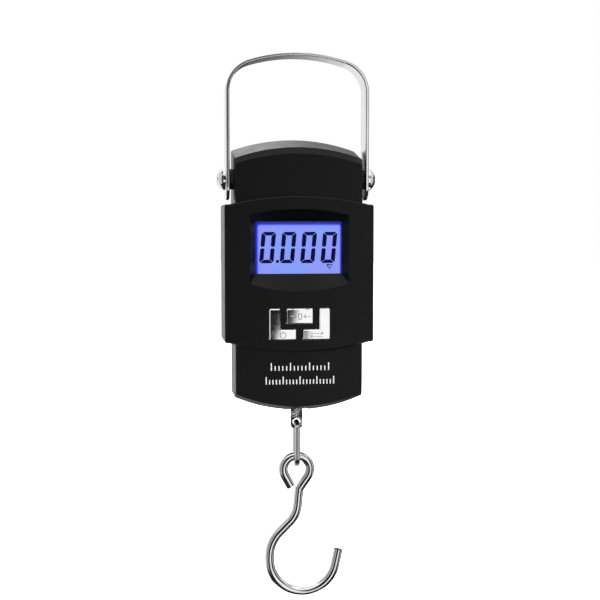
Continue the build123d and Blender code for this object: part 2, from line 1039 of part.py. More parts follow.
flange_back = flange_front - flange_thickness
outer_button_middle = (outer_button_foot + outer_button_outside) / 2
outer_button_height = (outer_button_top + outer_button_bottom) / 2
middle_button_height = (outer_button_top + middle_button_bottom) / 2


def crown(x, height):
    """Trims the button to a very shallow dome whose top is at x and height."""
    with Locations((x, button_crown - button_proud, pivot_z + height)):
        Sphere(button_crown, mode=Mode.INTERSECT)

with BuildPart() as button_power:
    with BuildSketch(front_plane(flange_front)):
        add(outer_button_face(0, -1))
    extrude(amount=button_proud - flange_front)
    crown(-outer_button_middle, outer_button_height)
    chamfer(button_power.faces().sort_by(Axis.Y)[0].edges(), button_bevel)
    with BuildSketch(front_plane(flange_back)):
        add(outer_button_face(flange_lip, -1))
    extrude(amount=flange_thickness)
    rod_along_y(-outer_switch_x, outer_switch_z, post_radius, flange_back, post_tip)
button_power.part.label = "button_power"
export_step(button_power.part, "parts/button_power.step")

with BuildPart() as button_tare:
    with BuildSketch(front_plane(flange_front)):
        add(middle_button_face(0))
    extrude(amount=button_proud - flange_front)
    crown(0, middle_button_height)
    chamfer(button_tare.faces().sort_by(Axis.Y)[0].edges(), button_bevel)
    with BuildSketch(front_plane(flange_back)):
        add(middle_button_face(flange_lip))
    extrude(amount=flange_thickness)
    rod_along_y(0, middle_switch_z, post_radius, flange_back, post_tip)
button_tare.part.label = "button_tare"
export_step(button_tare.part, "parts/button_tare.step")

with BuildPart() as button_unit:
    with BuildSketch(front_plane(flange_front)):
        add(outer_button_face(0, 1))
    extrude(amount=button_proud - flange_front)
    crown(outer_button_middle, outer_button_height)
    chamfer(button_unit.faces().sort_by(Axis.Y)[0].edges(), button_bevel)
    with BuildSketch(front_plane(flange_back)):
        add(outer_button_face(flange_lip, 1))
    extrude(amount=flange_thickness)
    rod_along_y(outer_switch_x, outer_switch_z, post_radius, flange_back, post_tip)
button_unit.part.label = "button_unit"
export_step(button_unit.part, "parts/button_unit.step")

# ---- yoke, bolt and load cell ----

with BuildPart() as yoke:
    box_between(
        -yoke_half_length, yoke_half_length, yoke_size / 2, -yoke_size / 2, -yoke_size / 2, yoke_size / 2
    )
    with Locations((0, 0, pivot_z)):
        Cylinder(yoke_bolt_radius + 0.1, 2 * yoke_size, mode=Mode.SUBTRACT)
    hole_length = yoke_half_length - pivot_screw_tip + 0.5
    for side in (-1, 1):
        with Locations((side * (yoke_half_length - hole_length / 2), 0, pivot_z)):
            Cylinder(pivot_radius + thread_play, hole_length, rotation=(0, 90, 0), mode=Mode.SUBTRACT)
yoke.part.label = "yoke"
export_step(yoke.part, "parts/yoke.step")

bolt_end = -yoke_size / 2 - yoke_bolt_reach

with BuildPart() as yoke_bolt:
    with BuildSketch(Plane.XY.offset(pivot_z + yoke_size / 2)):
        Circle(yoke_bolt_head)
    extrude(amount=yoke_bolt_head_height)
    with BuildSketch(Plane.XY.offset(pivot_z + bolt_end)):
        Circle(yoke_bolt_radius)
    extrude(amount=yoke_size / 2 - bolt_end)
    with BuildSketch(Plane.XY.offset(pivot_z + yoke_size / 2 + yoke_bolt_head_height)):
        RegularPolygon(yoke_bolt_socket, 6)
    extrude(amount=-yoke_bolt_socket_depth, mode=Mode.SUBTRACT)
yoke_bolt.part.label = "yoke_bolt"
export_step(yoke_bolt.part, "parts/yoke_bolt.step")

cell_top = -yoke_size / 2
beam_top = cell_top - cell_top_block
cell_middle = (beam_top + cell_bottom_block_top) / 2

with BuildPart() as load_cell:
    box_between(-cell_half_width, cell_half_width, cell_block_front, -cell_back, cell_bottom, cell_top)
    box_between(
        -cell_half_width - 1.0,
        cell_half_width + 1.0,
        cell_block_front + 1.0,
        cell_beam_front,
        cell_bottom_block_top,
        beam_top,
        mode=Mode.SUBTRACT,
    )
    # Two joined holes through the beam leave the thin webs that bend
    for x in (-cell_hole_spread, cell_hole_spread):
        rod_along_y(x, cell_middle, cell_hole_radius, cell_beam_front, -cell_back, mode=Mode.SUBTRACT)
    # Slots from either side give the block its S shape
    box_between(
        -cell_half_width - 1.0,
        cell_half_width - cell_slot_web,
        cell_beam_front,
        -cell_back,
        cell_middle + cell_slot_offset - cell_slot / 2,
        cell_middle + cell_slot_offset + cell_slot / 2,
        mode=Mode.SUBTRACT,
    )
    box_between(
        cell_slot_web - cell_half_width,
        cell_half_width + 1.0,
        cell_beam_front,
        -cell_back,
        cell_middle - cell_slot_offset - cell_slot / 2,
        cell_middle - cell_slot_offset + cell_slot / 2,
        mode=Mode.SUBTRACT,
    )
    # Threaded holes for the yoke bolt and the lug
    with BuildSketch(Plane.XY.offset(pivot_z + cell_top)):
        Circle(yoke_bolt_radius + thread_play)
    extrude(amount=bolt_end - cell_top - 0.5, mode=Mode.SUBTRACT)
    with BuildSketch(Plane.XY.offset(pivot_z + cell_bottom)):
        Circle(lug_radius + thread_play)
    extrude(amount=lug_thread_top - cell_bottom + 0.5, mode=Mode.SUBTRACT)
load_cell.part.label = "load_cell"
export_step(load_cell.part, "parts/load_cell.step")

with BuildPart() as strain_gauges:
    for side in (-1, 1):
        for level in (-1, 1):
            height = cell_middle + level * gauge_spacing / 2
            low, high = sorted((side * cell_half_width, side * (cell_half_width + gauge_thickness)))
            box_between(
                low,
                high,
                gauge_front + gauge_width / 2,
                gauge_front - gauge_width / 2,
                height - gauge_length / 2,
                height + gauge_length / 2,
            )
strain_gauges.part.label = "strain_gauges"
export_step(strain_gauges.part, "parts/strain_gauges.step")

wire_x = cell_half_width + gauge_thickness + wire_radius + 0.05

with BuildPart() as gauge_wires:
    for side in (-1, 1):
        for level in (-1, 1):
            start_height = pivot_z + cell_middle + level * 4.0
            with BuildLine() as wire_path:
                Spline(
                    (side * wire_x, 2.2, start_height),
                    (side * wire_x, 0.3, start_height + 1.6),
                    (side * wire_x, 0.1 - board_back, start_height + 2.6),
                    tangents=((0, -1, 0), (0, -1, 0)),
                )
            with BuildSketch(Plane(origin=wire_path.line @ 0, z_dir=wire_path.line % 0)):
                Circle(wire_radius)
            sweep(path=wire_path.line)
gauge_wires.part.label = "gauge_wires"
export_step(gauge_wires.part, "parts/gauge_wires.step")

# ---- lug and its nut ----

with BuildPart() as hook_lug:
    with BuildSketch(Plane.XY.offset(pivot_z + lug_tongue_top)):
        Circle(lug_radius)
    extrude(amount=lug_thread_top - lug_tongue_top)
    box_between(
        -lug_radius, lug_radius, lug_tongue_thickness / 2, -lug_tongue_thickness / 2, lug_end, lug_tongue_top
    )
    tongue_foot = hook_lug.edges().filter_by(Axis.Y).group_by(Axis.Z)[0]
    fillet(tongue_foot, lug_foot_rounding)
    rod_along_y(
        0,
        lug_eye,
        lug_eye_radius,
        lug_tongue_thickness,
        -lug_tongue_thickness,
        mode=Mode.SUBTRACT,
    )
hook_lug.part.label = "hook_lug"
export_step(hook_lug.part, "parts/hook_lug.step")

with BuildPart() as lug_nut:
    with BuildSketch(Plane.XY.offset(pivot_z + cell_bottom)):
        RegularPolygon(lug_nut_radius, 6)
        Circle(lug_radius + thread_play, mode=Mode.SUBTRACT)
    extrude(amount=-lug_nut_height)
lug_nut.part.label = "lug_nut"
export_step(lug_nut.part, "parts/lug_nut.step")

# ---- case screws ----

head_seat = -case_back + case_recess_depth

with BuildPart() as case_screws:
    case_head_back = head_seat - case_head_height
    for x in (-case_screw_x, case_screw_x):
        for height in (case_screw_top, case_screw_bottom):
            rod_along_y(x, height, case_head_radius, head_seat, case_head_back)
            rod_along_y(x, height, case_screw_radius, case_screw_tip, head_seat)
            cut_cross(x, height, case_head_back, case_slot, case_slot_length, case_slot_depth)
case_screws.part.label = "case_screws"
export_step(case_screws.part, "parts/case_screws.step")

# ---- batteries and contacts ----

upright_base = bay_top - contact_thickness - contact_gap - cell_nub_height - cell_length
inverted_base = bay_bottom + contact_thickness + contact_gap

with BuildPart() as battery_left:
    with BuildSketch(Plane.XY.offset(pivot_z + upright_base)):
        with Locations((-bay_x, bay_y)):
            Circle(cell_radius)
    extrude(amount=cell_length)
    fillet(battery_left.edges().filter_by(GeomType.CIRCLE), cell_edge_rounding)
    with BuildSketch(Plane.XY.offset(pivot_z + upright_base + cell_length)):
        with Locations((-bay_x, bay_y)):
            Circle(cell_nub_radius)
    extrude(amount=cell_nub_height)
battery_left.part.label = "battery_left"
export_step(battery_left.part, "parts/battery_left.step")

with BuildPart() as battery_right:
    with BuildSketch(Plane.XY.offset(pivot_z + inverted_base + cell_nub_height)):
        with Locations((bay_x, bay_y)):
            Circle(cell_radius)
    extrude(amount=cell_length)
    fillet(battery_right.edges().filter_by(GeomType.CIRCLE), cell_edge_rounding)
    with BuildSketch(Plane.XY.offset(pivot_z + inverted_base)):
        with Locations((bay_x, bay_y)):
            Circle(cell_nub_radius)
    extrude(amount=cell_nub_height)
battery_right.part.label = "battery_right"
export_step(battery_right.part, "parts/battery_right.step")

with BuildPart() as battery_springs:
    spring_seat = contact_thickness + contact_gap + spring_wire / 2
    low_spring_base = bay_bottom + spring_seat
    high_spring_base = bay_top - spring_seat - spring_height + spring_wire
    for x, base in ((-bay_x, low_spring_base), (bay_x, high_spring_base)):
        spring_origin = Vector(x, bay_y, pivot_z + base)
        with BuildLine() as spring_path:
            Helix(spring_pitch, spring_height - spring_wire - 0.3, spring_radius, center=spring_origin)
        with BuildSketch(Plane(origin=spring_path.line @ 0, z_dir=spring_path.line % 0)):
            Circle(spring_wire / 2)
        sweep(path=spring_path.line, is_frenet=True)
battery_springs.part.label = "battery_springs"
export_step(battery_springs.part, "parts/battery_springs.step")

with BuildPart() as battery_contacts:
    plate_head = bay_top - contact_thickness
    plate_foot = bay_bottom + contact_thickness
    for middle in (-bay_x, bay_x):
        low = middle - contact_half_width
        high = middle + contact_half_width
        box_between(low, high, contact_front, contact_back, plate_head, bay_top)
        box_between(low, high, contact_front, contact_back, bay_bottom, plate_foot)
        box_between(
            middle - tab_half_width,
            middle + tab_half_width,
            -tab_y,
            -tab_y - contact_thickness,
            bay_top - 0.1,
            bay_top + tab_length,
        )
    box_between(-bay_x, bay_x, bridge_front, bridge_back, bay_bottom, plate_foot)
battery_contacts.part.label = "battery_contacts"
export_step(battery_contacts.part, "parts/battery_contacts.step")

with BuildPart() as battery_wires:
    for side in (-1, 1):
        with BuildLine() as lead_path:
            Spline(
                (side * bay_x, tab_y - wire_radius - 0.05, pivot_z + bay_top + tab_length - 0.6),
                (side * bay_x, 0.1 - board_back, pivot_z + bay_top + tab_length - 0.2),
                tangents=((0, -1, 0), (0, -1, 0)),
            )
        with BuildSketch(Plane(origin=lead_path.line @ 0, z_dir=lead_path.line % 0)):
            Circle(wire_radius)
        sweep(path=lead_path.line)
battery_wires.part.label = "battery_wires"
export_step(battery_wires.part, "parts/battery_wires.step")

# ---- link ----

link_top_bend = pivot_z + lug_eye - link_bend
link_bottom_bend = pivot_z + eye_pin

with BuildPart() as hook_link:
    with BuildLine(Plane.YZ) as link_path:
        upper_bend = CenterArc((0, link_top_bend), link_bend, 0, 180)
        back_leg = Line((-link_bend, link_top_bend), (-link_bend, link_bottom_bend))
        lower_bend = CenterArc((0, link_bottom_bend), link_bend, 180, 180)
        front_leg = Line((link_bend, link_bottom_bend), (link_bend, link_top_bend))
    with BuildSketch(Plane.XY.offset((link_top_bend + link_bottom_bend) / 2)):
        with Locations((0, link_bend)):
            Circle(link_wire / 2)
    sweep(path=link_path.wire())
hook_link.part.label = "hook_link"
export_step(hook_link.part, "parts/hook_link.step")

# ---- hook ----

eye_centre = pivot_z + eye_pin - eye_bend
tail_heading = radians(eye_start_angle + 90)

with BuildPart() as hook:
    with BuildLine(Plane.XZ) as hook_path:
        eye_sweep = -(eye_start_angle + neck_angle)
        eye_arc = CenterArc((0, eye_centre), eye_bend, eye_start_angle, eye_sweep)
        tail_end = eye_arc @ 0 + Vector(cos(tail_heading), 0, sin(tail_heading)) * eye_tail
        Line(tail_end, eye_arc @ 0)
        neck = Line(eye_arc @ 1, eye_arc @ 1 + (eye_arc % 1) * neck_length)
        neck_bend = JernArc(neck @ 1, neck % 1, neck_radius, neck_angle - shank_lean)
        shank = Line(neck_bend @ 1, neck_bend @ 1 + (neck_bend % 1) * shank_length)
        shoulder = JernArc(shank @ 1, shank % 1, shoulder_bend, shank_lean - 45)
        slope = Line(shoulder @ 1, shoulder @ 1 + (shoulder % 1) * slope_length)
        upper_hook = JernArc(slope @ 1, slope % 1, hook_bend, 45)
        side_line = Line(upper_hook @ 1, upper_hook @ 1 + (upper_hook % 1) * side_length)
        lower_hook = JernArc(side_line @ 1, side_line % 1, hook_bend, 180 - tip_lean)
        tip = Line(lower_hook @ 1, lower_hook @ 1 + (lower_hook % 1) * tip_length)
    with BuildSketch(Plane(origin=tail_end, z_dir=hook_path.wire() % 0)):
        Circle(hook_wire / 2)
    sweep(path=hook_path.wire())
hook.part.label = "hook"
export_step(hook.part, "parts/hook.step")
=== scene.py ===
import json
import math

import bpy
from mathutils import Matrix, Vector


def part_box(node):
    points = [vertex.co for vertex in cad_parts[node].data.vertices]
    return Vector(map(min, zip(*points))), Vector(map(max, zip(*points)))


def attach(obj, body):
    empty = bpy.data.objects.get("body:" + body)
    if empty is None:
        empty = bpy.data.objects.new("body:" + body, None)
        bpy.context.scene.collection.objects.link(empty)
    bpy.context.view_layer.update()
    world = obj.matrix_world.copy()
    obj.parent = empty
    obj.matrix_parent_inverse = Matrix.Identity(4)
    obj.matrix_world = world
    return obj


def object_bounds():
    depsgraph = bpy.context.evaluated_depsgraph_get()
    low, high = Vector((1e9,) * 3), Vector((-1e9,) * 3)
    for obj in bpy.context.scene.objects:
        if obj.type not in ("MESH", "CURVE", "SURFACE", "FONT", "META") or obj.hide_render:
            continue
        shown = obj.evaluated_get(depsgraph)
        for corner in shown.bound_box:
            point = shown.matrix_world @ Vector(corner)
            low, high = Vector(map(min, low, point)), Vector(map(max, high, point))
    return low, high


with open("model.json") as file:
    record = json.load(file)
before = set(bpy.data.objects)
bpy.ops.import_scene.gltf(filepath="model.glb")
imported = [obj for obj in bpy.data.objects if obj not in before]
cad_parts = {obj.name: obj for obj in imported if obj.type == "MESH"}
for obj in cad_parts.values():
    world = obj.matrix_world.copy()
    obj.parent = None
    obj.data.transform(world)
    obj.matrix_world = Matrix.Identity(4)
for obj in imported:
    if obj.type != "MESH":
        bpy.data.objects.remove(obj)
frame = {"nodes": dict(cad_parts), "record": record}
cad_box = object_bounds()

# Looks of the digital fish scale. The CAD model stands as packed; this script gives
# every node its material and adds the printed ticks, the display's cursor, the embossed
# symbols, the studio and the camera.
# Metres, in the CAD frame: X to the right, Y to the back, Z up.

MM = 0.001
nodes = frame["nodes"]
scene = bpy.context.scene
joints = {j["name"]: j for j in frame["record"]["behaviour"]["joints"]}
pivot = Vector(joints["bail_pivot"]["pos_m"])


def span(node):
    """Lowest and highest corner of a CAD node."""
    low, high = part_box(node)
    return Vector(low), Vector(high)


# ---------------------------------------------------------------- materials


class Nodes:
    """An emptied node tree, with short ways to add to it."""

    def __init__(self, owner):
        owner.use_nodes = True
        self.tree = owner.node_tree
        self.tree.nodes.clear()

    def add(self, kind, **values):
        node = self.tree.nodes.new(kind)
        for key, value in values.items():
            setattr(node, key, value)
        return node

    def link(self, a, b):
        self.tree.links.new(a, b)

    def math(self, operation, a, b=None):
        node = self.add("ShaderNodeMath", operation=operation)
        for socket, value in zip(node.inputs, (a, b)):
            if isinstance(value, (int, float)):
                socket.default_value = value
            elif value is not None:
                self.link(value, socket)
        return node.outputs["Value"]

    def step(self, value, start, end):
        """Smooth rise from 0 at start to 1 at end."""
        node = self.add("ShaderNodeMapRange", interpolation_type="SMOOTHSTEP")
        node.inputs["From Min"].default_value = start
        node.inputs["From Max"].default_value = end
        self.link(value, node.inputs["Value"])
        return node.outputs["Result"]


class Graph(Nodes):
    """A material's node tree, with the shader ready."""

    def __init__(self, name, **sockets):
        self.mat = bpy.data.materials.new(name)
        super().__init__(self.mat)
        out = self.add("ShaderNodeOutputMaterial")
        self.bsdf = self.add("ShaderNodeBsdfPrincipled")
        self.link(self.bsdf.outputs["BSDF"], out.inputs["Surface"])
        self.coords = self.add("ShaderNodeTexCoord").outputs["Object"]
        self.axes = None
        for key, value in sockets.items():
            self.bsdf.inputs[key.replace("_", " ")].default_value = value

    def feed(self, **sockets):
        """Links outputs to the shader's sockets."""
        for key, value in sockets.items():
            self.link(value, self.bsdf.inputs[key.replace("_", " ")])

    def along(self, axis):
        """The X, Y or Z coordinate."""
        if self.axes is None:
            self.axes = self.add("ShaderNodeSeparateXYZ")
            self.link(self.coords, self.axes.inputs["Vector"])
        return self.axes.outputs[axis]

    def noise(self, scale, detail=4.0, roughness=0.5, stretch=None, distortion=0.0):
        node = self.add("ShaderNodeTexNoise")
        node.inputs["Scale"].default_value = scale
        node.inputs["Detail"].default_value = detail
        node.inputs["Roughness"].default_value = roughness
        node.inputs["Distortion"].default_value = distortion
        source = self.coords
        if stretch is not None:
            mapping = self.add("ShaderNodeMapping")
            mapping.inputs["Scale"].default_value = stretch
            self.link(source, mapping.inputs["Vector"])
            source = mapping.outputs["Vector"]
        self.link(source, node.inputs["Vector"])
        return node.outputs["Fac"]

    def waves(self, scale, direction, distortion=0.0):
        node = self.add("ShaderNodeTexWave", bands_direction=direction)
        node.inputs["Scale"].default_value = scale
        node.inputs["Distortion"].default_value = distortion
        self.link(self.coords, node.inputs["Vector"])
        return node.outputs["Fac"]

    def ramp(self, source, *stops):
        """Colour ramp; each stop is a place and a grey or a colour."""
        node = self.add("ShaderNodeValToRGB")
        band = node.color_ramp
        while len(band.elements) < len(stops):
            band.elements.new(0.5)
        for element, (place, colour) in zip(band.elements, stops):
            element.position = place
            if isinstance(colour, (int, float)):
                colour = (colour, colour, colour)
            element.color = (*colour, 1.0)
        self.link(source, node.inputs["Fac"])
        return node.outputs["Color"]

    def mix(self, share, a, b):
        """Colour a where share is 0 and b where it is 1."""
        node = self.add("ShaderNodeMix", data_type="RGBA")
        for socket, value in ((node.inputs[0], share), (node.inputs[6], a), (node.inputs[7], b)):
            if isinstance(value, tuple):
                socket.default_value = (*value, 1.0)
            elif isinstance(value, (int, float)):
                socket.default_value = value
            else:
                self.link(value, socket)
        return node.outputs[2]

    def bump(self, *layers):
        """Layers of (height, depth in metres, strength), the finest last."""
        normal = None
        for height, depth, strength in layers:
            node = self.add("ShaderNodeBump")
            node.inputs["Distance"].default_value = depth
            node.inputs["Strength"].default_value = strength
            self.link(height, node.inputs["Height"])
            if normal is not None:
                self.link(normal, node.inputs["Normal"])
            normal = node.outputs["Normal"]
        self.link(normal, self.bsdf.inputs["Normal"])


def tint(colour, factor):
    return tuple(channel * factor for channel in colour)


def moulded(name, tone, gloss=(0.27, 0.36), specular=0.22):
    """Moulded black ABS: fine spark-eroded grain, flow mottling, handling scuffs."""
    g = Graph(name, IOR=1.5, Specular_IOR_Level=specular)
    mottle = g.noise(38.0, 5.0)
    scuffs = g.noise(420.0, 6.0, 0.75, stretch=(1.0, 1.0, 0.12), distortion=1.2)
    scuffed = g.step(scuffs, 0.66, 0.76)
    body = g.ramp(mottle, (0.3, tone * 0.85), (0.7, tone * 1.2))
    g.feed(
        Base_Color=g.mix(g.math("MULTIPLY", scuffed, 0.35), body, (tone * 3.0,) * 3),
        Roughness=g.ramp(g.noise(160.0, 6.0, 0.65), (0.3, gloss[0]), (0.7, gloss[1])),
    )
    g.bump((g.noise(300.0, 2.0), 0.01 * MM, 0.15), (g.noise(3200.0, 3.0, 0.6), 0.004 * MM, 0.5))
    return g.mat


def steel(name, colour, rough, run, lines, depth, dents=0.0, spots=0.0):
    """Drawn or rolled steel. run squeezes the pattern along the way the metal was drawn."""
    g = Graph(name, Metallic=1.0)
    smear = g.noise(90.0, 6.0, 0.6)
    drawn = g.noise(lines, 3.0, 0.6, stretch=run)
    body = g.ramp(smear, (0.35, tint(colour, 0.88)), (0.65, colour))
    if spots > 0:
        pits = g.step(g.noise(1300.0, 4.0, 0.6), 0.66, 0.72)
        body = g.mix(g.math("MULTIPLY", pits, spots), body, tint(colour, 0.25))
    streaks = g.math("MULTIPLY", drawn, 0.6)
    both = g.math("ADD", streaks, g.math("MULTIPLY", smear, 0.4))
    g.feed(Base_Color=body, Roughness=g.ramp(both, (0.35, rough[0]), (0.65, rough[1])))
    layers = [(drawn, 0.003 * MM, depth)]
    if dents > 0:
        layers.insert(0, (g.noise(150.0, 2.0), 0.05 * MM, dents))
    g.bump(*layers)
    return g.mat


def mottled(name, low, high, rough, scale, grain=0.01 * MM, **sockets):
    """Plain stock with a cloudy tone, uneven gloss and a fine grain."""
    g = Graph(name, **sockets)
    g.feed(
        Base_Color=g.ramp(g.noise(scale, 5.0, 0.6), (0.3, low), (0.7, high)),
        Roughness=g.ramp(g.noise(scale * 1.7, 4.0), (0.3, rough[0]), (0.7, rough[1])),
    )
    g.bump((g.noise(scale * 4.0, 3.0), grain, 0.4))
    return g.mat


def dress(material, *names):
    """Gives CAD nodes their material."""
    for name in names:
        node = nodes[name]
        if not node.material_slots:
            node.data.materials.append(material)
        for slot in node.material_slots:
            slot.material = material


# ---- case

FRONT_TONE = 0.0012
dress(moulded("front_abs", FRONT_TONE), "front_cover")
dress(moulded("rear_abs", FRONT_TONE * 1.2, gloss=(0.28, 0.40), specular=0.36), "rear_cover")
dress(moulded("cover_abs", FRONT_TONE * 1.4, gloss=(0.32, 0.44), specular=0.34), "battery_cover")

# ---- steel: the strap and the hook lie across Y, so lines that vary only with Y run along them

ALONG_STRAP = (0.03, 1.0, 0.03)
ALONG_LINK = (1.0, 0.03, 0.03)
ALONG_Z = (1.0, 1.0, 0.05)
EVEN = (1.0, 1.0, 1.0)
dress(steel("bail_stainless", (0.86, 0.87, 0.88), (0.13, 0.20), ALONG_STRAP, 900.0, 0.02), "bail_handle")
dress(steel("screw_plate", (0.92, 0.92, 0.93), (0.05, 0.12), EVEN, 700.0, 0.05), "pivot_screws")
dress(
    steel("hook_wire", (0.88, 0.88, 0.89), (0.12, 0.20), ALONG_STRAP, 1500.0, 0.05, dents=0.03),
    "hook",
)
dress(
    steel("link_wire", (0.80, 0.80, 0.81), (0.10, 0.24), ALONG_LINK, 1500.0, 0.2, 0.25, 0.6),
    "hook_link",
)
dress(
    steel("yoke_zinc", (0.55, 0.56, 0.60), (0.25, 0.42), ALONG_STRAP, 1200.0, 0.4, spots=0.3),
    "yoke",
)
dress(steel("bolt_black_oxide", (0.06, 0.06, 0.065), (0.3, 0.45), ALONG_Z, 900.0, 0.3), "yoke_bolt")
dress(
    steel("nut_zinc", (0.58, 0.59, 0.61), (0.22, 0.38), EVEN, 900.0, 0.3, spots=0.3),
    "lug_nut",
    "board_screws",
)
dress(
    steel("case_screw_zinc", (0.42, 0.42, 0.43), (0.25, 0.40), EVEN, 900.0, 0.3, spots=0.4),
    "case_screws",
)
dress(steel("dome_stainless", (0.80, 0.79, 0.75), (0.10, 0.20), EVEN, 900.0, 0.1), "switch_domes")
dress(
    steel("contact_nickel", (0.74, 0.72, 0.64), (0.15, 0.30), EVEN, 1200.0, 0.15, spots=0.3),
    "battery_contacts",
    "battery_springs",
)
dress(steel("crystal_can", (0.75, 0.75, 0.74), (0.2, 0.32), ALONG_STRAP, 2500.0, 0.2), "crystal")

# Milled aluminium with cutter marks
g = Graph("cell_aluminium", Metallic=1.0)
cutter = g.waves(260.0, "Z", distortion=0.6)
g.feed(
    Base_Color=g.ramp(g.noise(120.0, 5.0), (0.3, (0.60, 0.61, 0.63)), (0.7, (0.74, 0.75, 0.76))),
    Roughness=g.ramp(cutter, (0.2, 0.26), (0.8, 0.38)),
)
g.bump((cutter, 0.01 * MM, 0.25), (g.noise(2500.0, 3.0, stretch=(0.05, 1.0, 1.0)), 0.004 * MM, 0.4))
dress(g.mat, "load_cell")

# Lug: dark scaled steel, rubbed bright in scratches within random patches
g = Graph("lug_scaled_steel", Metallic=1.0)
veins = g.noise(520.0, 4.0, 0.65, distortion=2.2)
scratch = g.ramp(veins, (0.44, 0.0), (0.485, 1.0), (0.515, 1.0), (0.56, 0.0))
patches = g.step(g.noise(330.0, 3.0), 0.42, 0.58)
rubbed = g.math("MULTIPLY", scratch, patches)
scale_tone = g.ramp(g.noise(900.0, 5.0, 0.7), (0.3, 0.025), (0.7, 0.10))
g.feed(
    Base_Color=g.mix(rubbed, scale_tone, (0.82, 0.82, 0.81)),
    Roughness=g.ramp(rubbed, (0.0, 0.42), (1.0, 0.2)),
)
g.bump((g.noise(800.0, 3.0, 0.6), 0.06 * MM, 0.5), (veins, 0.03 * MM, 0.4))
dress(g.mat, "hook_lug")

# Plated buttons: a mirror with a slight orange-peel wave
g = Graph("button_chrome", Metallic=1.0)
g.feed(
    Base_Color=g.ramp(g.noise(260.0, 4.0), (0.3, (0.90, 0.90, 0.91)), (0.7, (0.96, 0.96, 0.96))),
    Roughness=g.ramp(g.noise(420.0, 5.0), (0.3, 0.05), (0.7, 0.11)),
)
g.bump((g.noise(260.0, 1.0), 0.03 * MM, 0.10))
button_chrome = g.mat
dress(button_chrome, "button_power", "button_tare", "button_unit")

# ---- small inner pieces

dress(mottled("washer_nylon", 0.008, 0.016, (0.42, 0.58), 500.0, IOR=1.5), "pivot_washers")
dress(mottled("chip_epoxy", 0.003, 0.010, (0.08, 0.25), 160.0, 0.05 * MM, IOR=1.55), "chip_blob")
dress(mottled("switch_nylon", 0.012, 0.03, (0.4, 0.55), 500.0), "tact_switches")
dress(
    mottled("component_ceramic", (0.05, 0.035, 0.02), (0.42, 0.36, 0.28), (0.3, 0.5), 420.0),
    "board_components",
)
dress(
    mottled(
        "lamp_resin",
        (0.75, 0.72, 0.45),
        (0.95, 0.93, 0.75),
        (0.1, 0.25),
        700.0,
        Emission_Color=(0.35, 0.42, 1.0, 1.0),
        Emission_Strength=1.0,
    ),
    "backlight_lamps",
)

# Light guide: milky acrylic with a printed dot grid
g = Graph("guide_acrylic", IOR=1.49)
dots = g.math("MULTIPLY", g.waves(330.0, "X"), g.waves(330.0, "Z"))
g.feed(
    Base_Color=g.ramp(dots, (0.5, (0.55, 0.60, 0.95)), (0.62, (0.92, 0.94, 1.0))),
    Roughness=g.ramp(g.noise(300.0), (0.3, 0.15), (0.7, 0.3)),
    Emission_Color=g.ramp(dots, (0.5, (0.10, 0.13, 0.70)), (0.62, (0.20, 0.26, 1.0))),
)
g.bsdf.inputs["Emission Strength"].default_value = 0.6
g.bump((dots, 0.01 * MM, 0.3))
dress(g.mat, "backlight_panel")

# Rubber strip with its fine conducting layers
g = Graph("zebra_rubber")
layers = g.waves(1600.0, "X")
g.feed(
    Base_Color=g.ramp(layers, (0.45, (0.62, 0.40, 0.48)), (0.6, (0.04, 0.035, 0.04))),
    Roughness=g.ramp(g.noise(500.0), (0.3, 0.5), (0.7, 0.65)),
)
g.bump((layers, 0.01 * MM, 0.3))
dress(g.mat, "zebra_strip")

# Circuit board: green mask over copper tracks and a glass weave
g = Graph("board_mask", IOR=1.5)
weave = g.math("MULTIPLY", g.waves(900.0, "X"), g.waves(900.0, "Z"))
tracks = g.add("ShaderNodeTexBrick", offset=0.37, offset_frequency=3, squash=0.55, squash_frequency=2)
tracks.inputs["Scale"].default_value = 210.0
tracks.inputs["Mortar Size"].default_value = 0.035
flat = g.add("ShaderNodeMapping")
flat.inputs["Rotation"].default_value = (math.radians(90.0), 0.0, 0.0)
g.link(g.coords, flat.inputs["Vector"])
g.link(flat.outputs["Vector"], tracks.inputs["Vector"])
track = tracks.outputs["Fac"]
g.feed(
    Base_Color=g.mix(
        track,
        g.ramp(weave, (0.3, (0.004, 0.075, 0.028)), (0.7, (0.006, 0.11, 0.042))),
        (0.02, 0.26, 0.09),
    ),
    Roughness=g.ramp(g.noise(260.0), (0.3, 0.25), (0.7, 0.4)),
)
g.bump((track, 0.04 * MM, 0.5), (weave, 0.01 * MM, 0.2))
dress(g.mat, "circuit_board")

# Strain gauges: amber film with a foil grid
g = Graph("gauge_film", IOR=1.6)
foil = g.ramp(g.waves(500.0, "Y"), (0.5, 0.0), (0.6, 1.0))
g.feed(
    Base_Color=g.mix(foil, (0.62, 0.26, 0.04), (0.55, 0.47, 0.36)),
    Metallic=foil,
    Roughness=g.ramp(g.noise(900.0), (0.3, 0.25), (0.7, 0.4)),
)
g.bump((foil, 0.02 * MM, 0.4))
dress(g.mat, "strain_gauges")


def insulation(name, pick, first, second):
    """Wire insulation in two colours, with pick telling which."""
    g = Graph(name, IOR=1.5)
    side = g.step(pick(g), -0.01 * MM, 0.01 * MM)
    fine = g.noise(900.0, 3.0)
    g.feed(
        Base_Color=g.mix(
            side,
            g.ramp(fine, (0.3, tint(first, 0.8)), (0.7, first)),
            g.ramp(fine, (0.3, tint(second, 0.8)), (0.7, second)),
        ),
        Roughness=g.ramp(g.noise(500.0), (0.3, 0.35), (0.7, 0.5)),
    )
    g.bump((g.noise(2500.0), 0.01 * MM, 0.3))
    return g.mat


